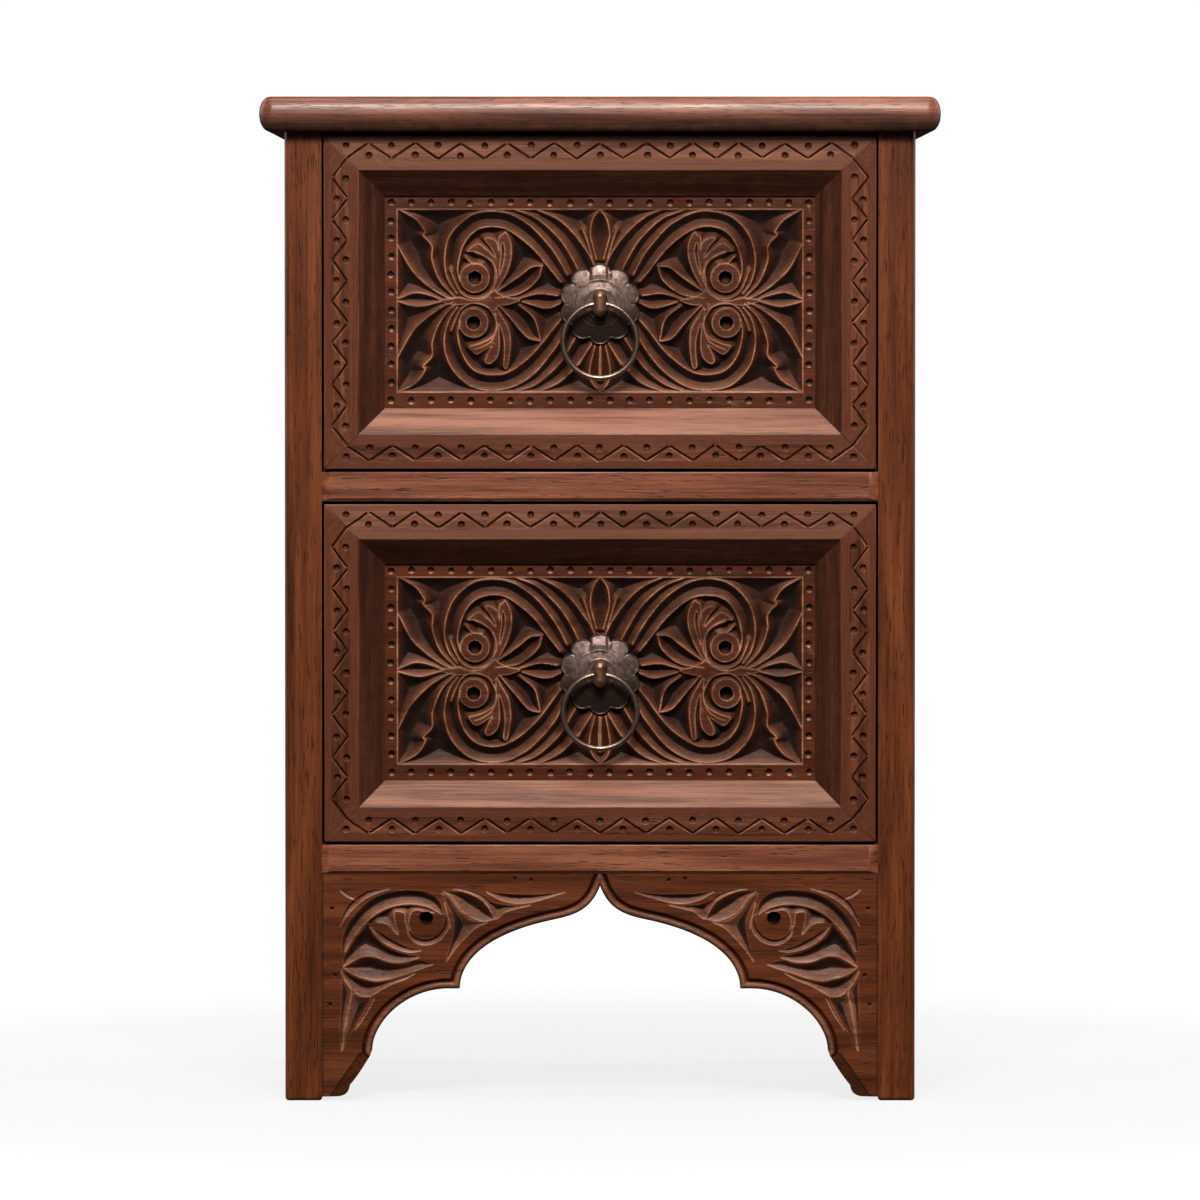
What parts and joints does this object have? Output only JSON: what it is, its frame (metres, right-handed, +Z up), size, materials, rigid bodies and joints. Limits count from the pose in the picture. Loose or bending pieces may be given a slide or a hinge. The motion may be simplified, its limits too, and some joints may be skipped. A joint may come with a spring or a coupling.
{
  "type": "chest of drawers",
  "caption": "Small bedside chest in dark waxed hardwood: carved scroll-and-leaf drawer fronts with ring pulls, bullnose top, framed sides and an ogee-arched carved apron.",
  "frame": {"origin": "middle of the object's footprint on the floor, under the bounding box", "axes": "+Z up, drawers face -Y and open towards -Y, +X to the right seen from the front"},
  "size_m": [0.44, 0.36, 0.65],
  "materials": {
    "case_wood": "waxed reddish-brown hardwood, satin",
    "front_wood": "waxed reddish-brown hardwood with carved zigzag",
    "carved_wood": "hand-carved reddish-brown hardwood, waxed, dark in its recesses",
    "drawer_box_wood": "plain planed secondary wood",
    "frame_wood": "plain sawn and planed secondary wood",
    "plate_iron": "aged pressed plate, dark brown patina",
    "lug_copper": "rubbed copper-coloured cast lug",
    "ring_brass": "antique bent rod, dulled",
    "screw_steel": "plain zinc-plated"
  },
  "bodies": {
    "case": {"top_board": "case_wood", "post_front_left": "case_wood", "post_front_right": "case_wood", "post_back_left": "case_wood", "post_back_right": "case_wood", "side_top_rail_left": "case_wood", "side_top_rail_right": "case_wood", "side_bottom_rail_left": "case_wood", "side_bottom_rail_right": "case_wood", "side_panel_left": "case_wood", "side_panel_right": "case_wood", "back_top_rail": "case_wood", "back_bottom_rail": "case_wood", "back_panel": "case_wood", "top_stretcher": "frame_wood", "divider_rail": "case_wood", "bottom_rail": "case_wood", "upper_runner_left": "frame_wood", "upper_runner_right": "frame_wood", "lower_runner_left": "frame_wood", "lower_runner_right": "frame_wood", "kicker_left": "frame_wood", "kicker_right": "frame_wood", "drawer_stops": "frame_wood", "apron_bracket_left": "carved_wood", "apron_bracket_right": "carved_wood", "bracket_dowels": "frame_wood", "runner_screws": "screw_steel", "top_screws": "screw_steel"},
    "upper_drawer": {"upper_front_top": "front_wood", "upper_front_bottom": "front_wood", "upper_front_left": "front_wood", "upper_front_right": "front_wood", "upper_carved_panel": "carved_wood", "upper_side_left": "drawer_box_wood", "upper_side_right": "drawer_box_wood", "upper_drawer_back": "drawer_box_wood", "upper_drawer_bottom": "drawer_box_wood", "upper_pull_plate": "plate_iron", "upper_pull_post": "lug_copper", "upper_pull_nut": "screw_steel"},
    "lower_drawer": {"lower_front_top": "front_wood", "lower_front_bottom": "front_wood", "lower_front_left": "front_wood", "lower_front_right": "front_wood", "lower_carved_panel": "carved_wood", "lower_side_left": "drawer_box_wood", "lower_side_right": "drawer_box_wood", "lower_drawer_back": "drawer_box_wood", "lower_drawer_bottom": "drawer_box_wood", "lower_pull_plate": "plate_iron", "lower_pull_post": "lug_copper", "lower_pull_nut": "screw_steel"},
    "upper_ring": {"upper_pull_ring": "ring_brass"},
    "lower_ring": {"lower_pull_ring": "ring_brass"}
  },
  "joints": [
    {"name": "upper_drawer_slide", "type": "slide", "parent": "case", "child": "upper_drawer", "axis": [0, -1, 0], "range_m": [0, 0.24]},
    {"name": "upper_ring_hinge", "type": "hinge", "parent": "upper_drawer", "child": "upper_ring", "pos_m": [0, -0.1615, 0.51625], "axis": [-1, 0, 0], "range_deg": [-12, 172]},
    {"name": "lower_drawer_slide", "type": "slide", "parent": "case", "child": "lower_drawer", "axis": [0, -1, 0], "range_m": [0, 0.24]},
    {"name": "lower_ring_hinge", "type": "hinge", "parent": "lower_drawer", "child": "lower_ring", "pos_m": [0, -0.1615, 0.27625], "axis": [-1, 0, 0], "range_deg": [-12, 172]}
  ]
}
